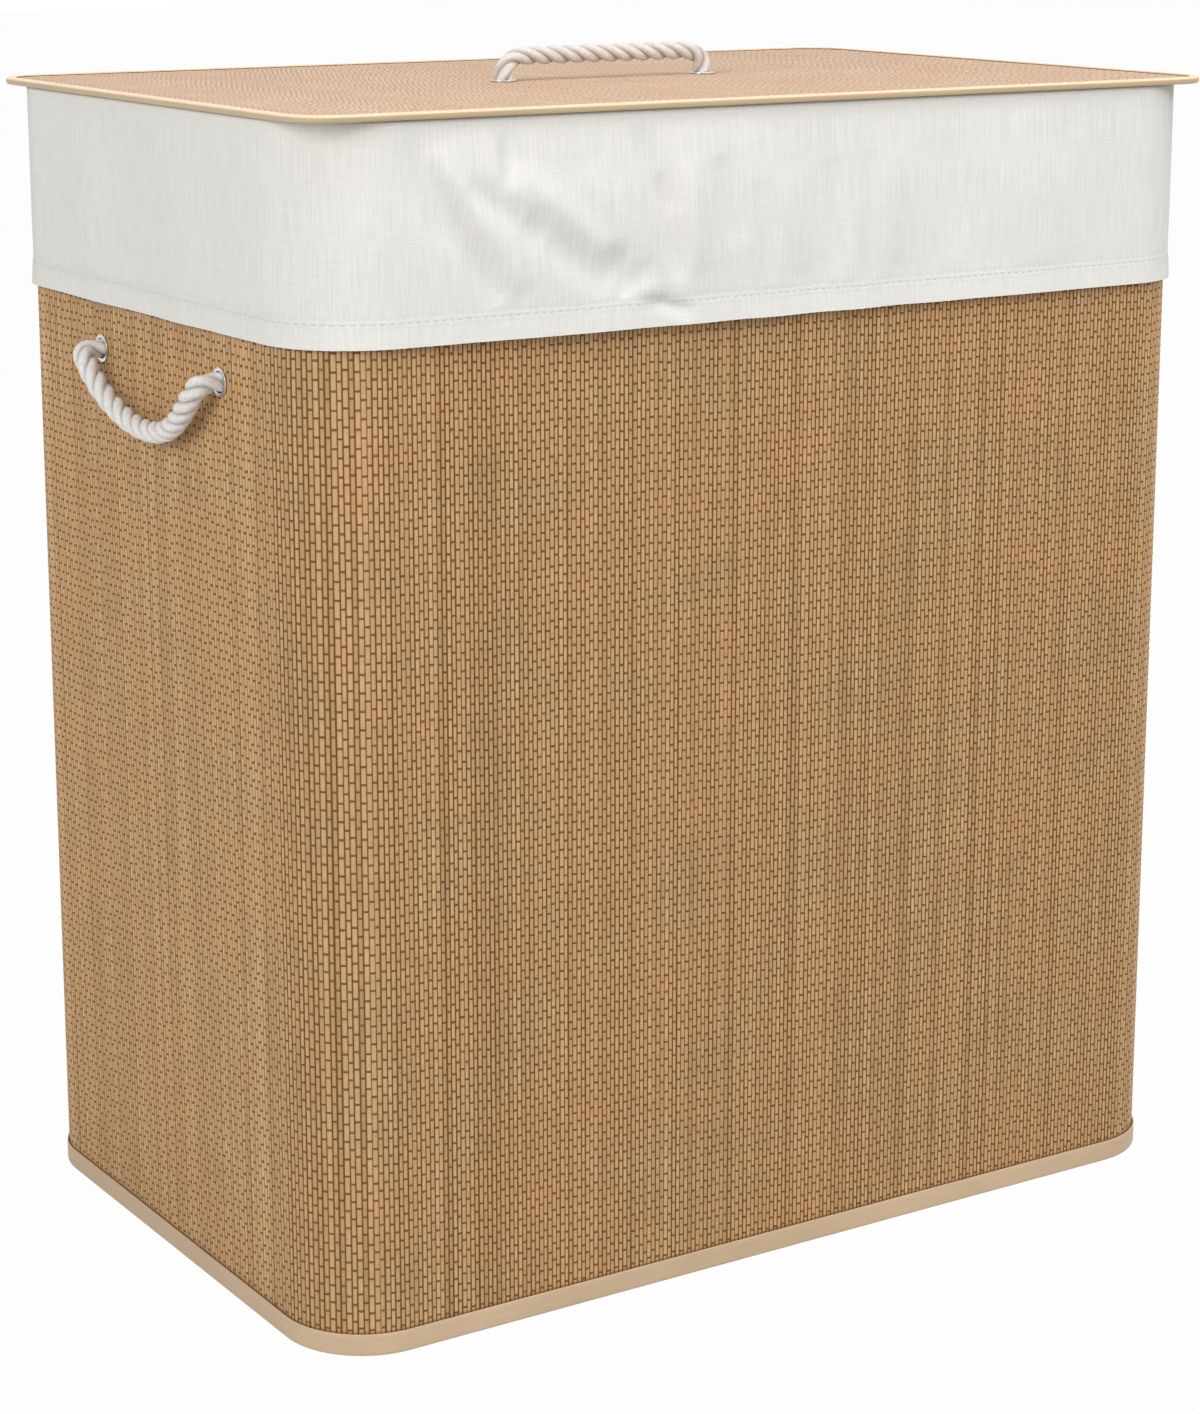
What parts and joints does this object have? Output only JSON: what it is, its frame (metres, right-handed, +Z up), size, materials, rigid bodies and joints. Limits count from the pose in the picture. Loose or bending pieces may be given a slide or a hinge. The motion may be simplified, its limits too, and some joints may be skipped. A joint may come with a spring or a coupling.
{
  "type": "laundry hamper",
  "caption": "Rectangular woven laundry hamper with rope handles, a lift-out cloth liner divided into two bins, and a flat lift-off lid.",
  "frame": {"origin": "middle of the base, on the floor that the hamper stands on", "axes": "+Z up, +X along the long side with one bin on each side of X = 0, and the front faces -Y"},
  "size_m": [0.5964, 0.3702, 0.6472],
  "materials": {
    "woven_mat": "matte woven sticks with dark weft",
    "lid_woven_mat": "matte fine woven mat",
    "binding_tape": "matte folded tape",
    "lid_tape": "satin folded tape",
    "lining_cloth": "matte cloth",
    "liner_cotton": "matte plain-woven cotton",
    "cotton_rope": "matte three-strand cotton rope",
    "fibreboard": "matte board",
    "steel_wire": "drawn wire",
    "eyelet_metal": "nickel plated"
  },
  "bodies": {
    "basket": {"mat_wall": "woven_mat", "wall_lining": "lining_cloth", "seam_strip": "binding_tape", "foot_binding": "binding_tape", "rim_binding": "binding_tape", "rim_hoop": "steel_wire", "base_cloth": "lining_cloth", "base_board": "fibreboard", "left_front_eyelet": "eyelet_metal", "left_back_eyelet": "eyelet_metal", "right_front_eyelet": "eyelet_metal", "right_back_eyelet": "eyelet_metal", "left_front_rope_end": "cotton_rope", "left_back_rope_end": "cotton_rope", "right_front_rope_end": "cotton_rope", "right_back_rope_end": "cotton_rope"},
    "left_handle": {"left_rope_handle": "cotton_rope"},
    "right_handle": {"right_rope_handle": "cotton_rope"},
    "liner": {"liner_cuff": "liner_cotton", "liner_bag": "liner_cotton", "liner_divider": "liner_cotton"},
    "lid": {"lid_lining": "lining_cloth", "lid_board": "fibreboard", "lid_mat": "lid_woven_mat", "lid_binding": "lid_tape", "lid_left_eyelet": "eyelet_metal", "lid_right_eyelet": "eyelet_metal", "lid_left_rope_end": "cotton_rope", "lid_right_rope_end": "cotton_rope"},
    "lid_handle": {"lid_rope_handle": "cotton_rope"}
  },
  "joints": [
    {"name": "liner_lift", "type": "slide", "parent": "basket", "child": "liner", "axis": [0, 0, 1], "range_m": [0, 0.65]},
    {"name": "lid_lift", "type": "slide", "parent": "liner", "child": "lid", "axis": [0, 0, 1], "range_m": [0, 0.3]},
    {"name": "left_handle_swing", "type": "hinge", "parent": "basket", "child": "left_handle", "pos_m": [-0.293, -0.0115, 0.4921], "axis": [0, 1, 0], "range_deg": [0, 150]},
    {"name": "right_handle_swing", "type": "hinge", "parent": "basket", "child": "right_handle", "pos_m": [0.293, -0.0115, 0.4921], "axis": [0, -1, 0], "range_deg": [0, 150]},
    {"name": "lid_handle_tilt", "type": "hinge", "parent": "lid", "child": "lid_handle", "pos_m": [0, 0, 0.635], "axis": [1, 0, 0], "range_deg": [-30, 30], "stiffness_Nm_per_rad": 0.03}
  ]
}
